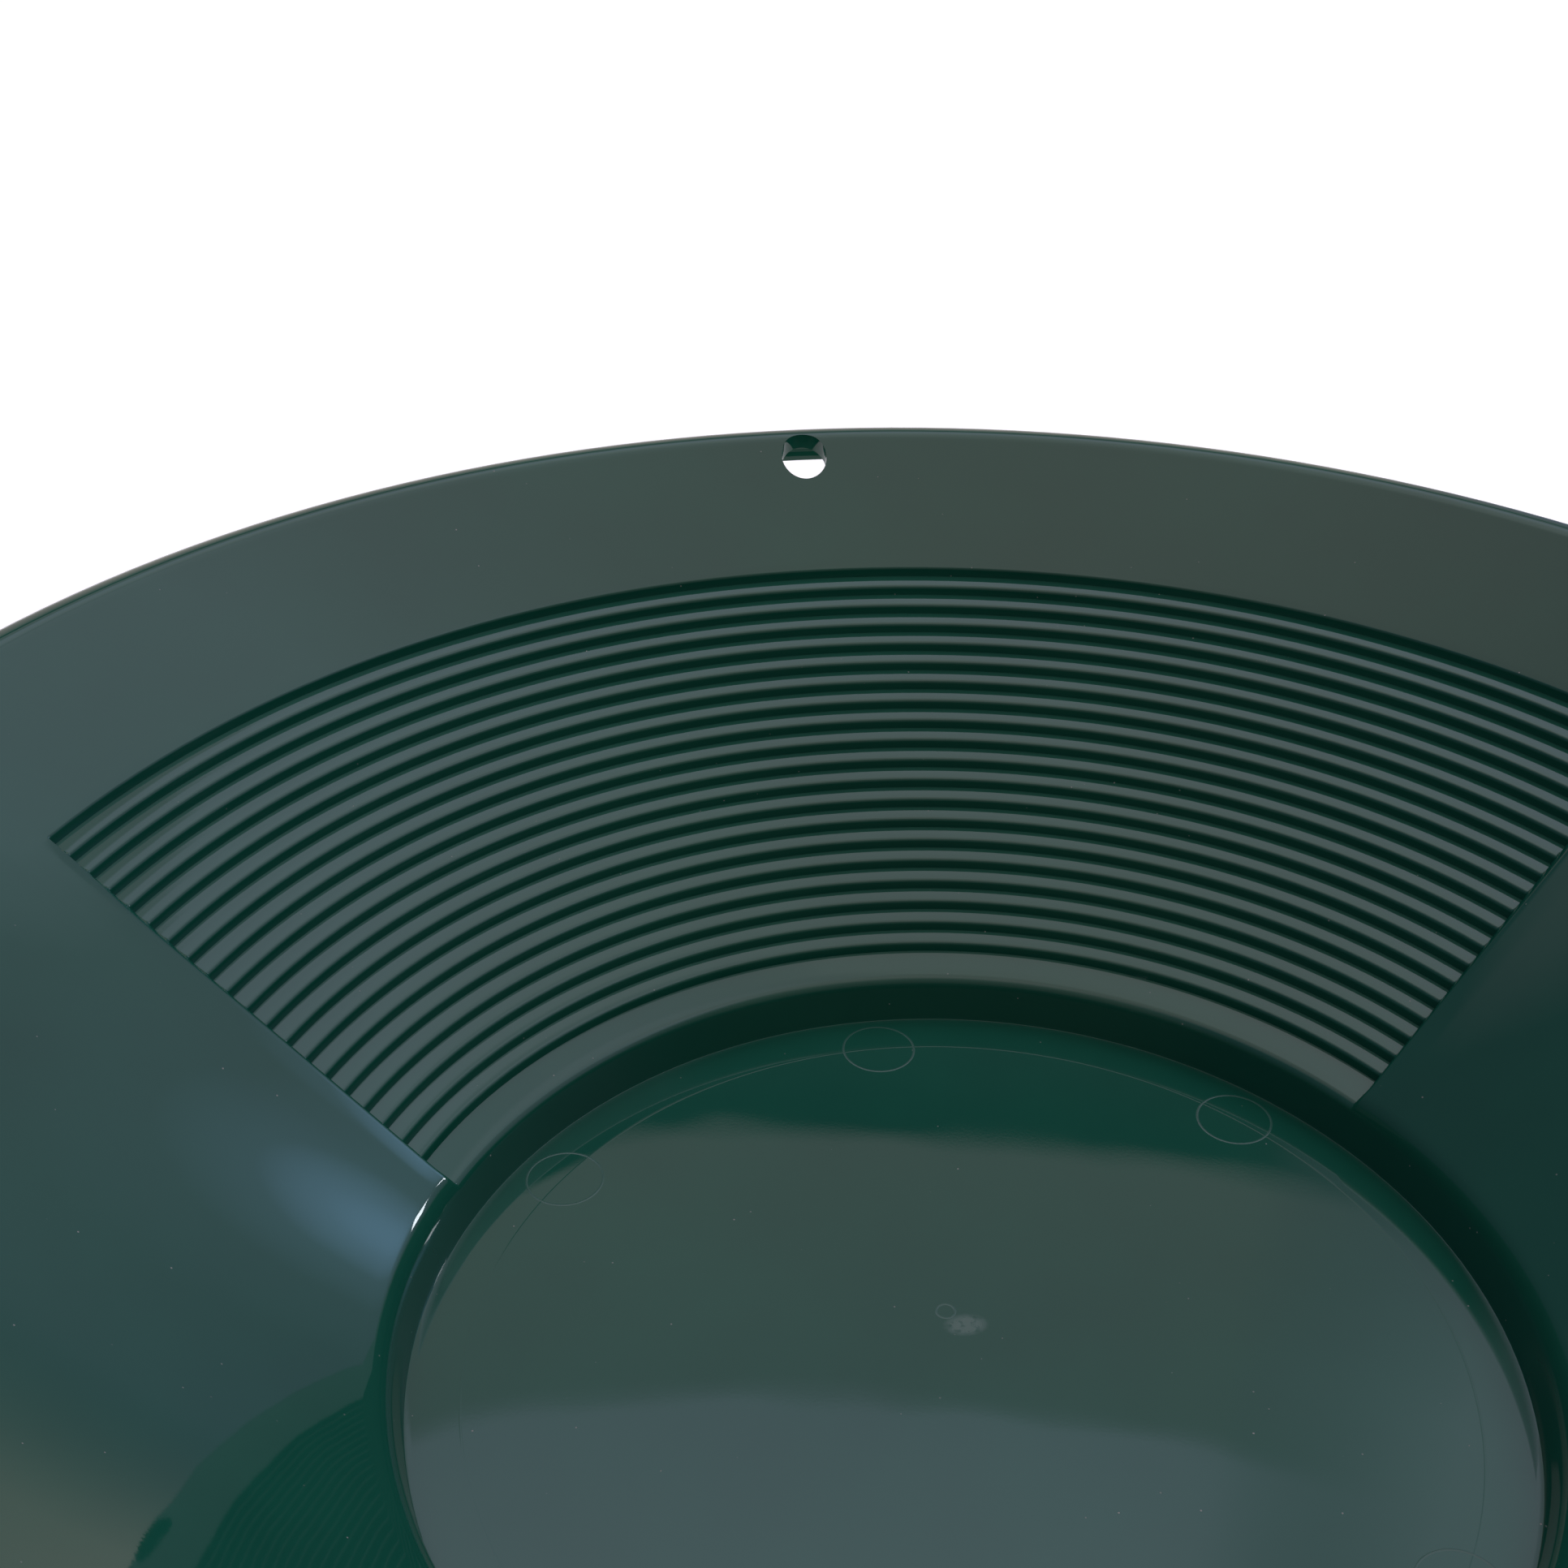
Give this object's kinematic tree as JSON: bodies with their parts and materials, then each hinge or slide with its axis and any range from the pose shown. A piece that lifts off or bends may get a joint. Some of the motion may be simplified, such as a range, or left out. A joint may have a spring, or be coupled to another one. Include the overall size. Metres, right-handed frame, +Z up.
{
  "type": "gold pan",
  "caption": "Round moulded plastic gold pan with a flat floor, sloping wall, fine stepped riffles over one sector, a rolled rim and a hanging hole.",
  "frame": {"origin": "middle of the face that the pan rests on, under the middle of the floor", "axes": "+Z up out of the bowl, +Y through the middle of the riffles and through the hanging hole, +X to the right of that"},
  "size_m": [0.3558, 0.3558, 0.0761],
  "materials": {
    "green_plastic": "dark green injection-moulded polypropylene, smooth and glossy"
  },
  "bodies": {
    "root": {"pan": "green_plastic"}
  },
  "joints": []
}
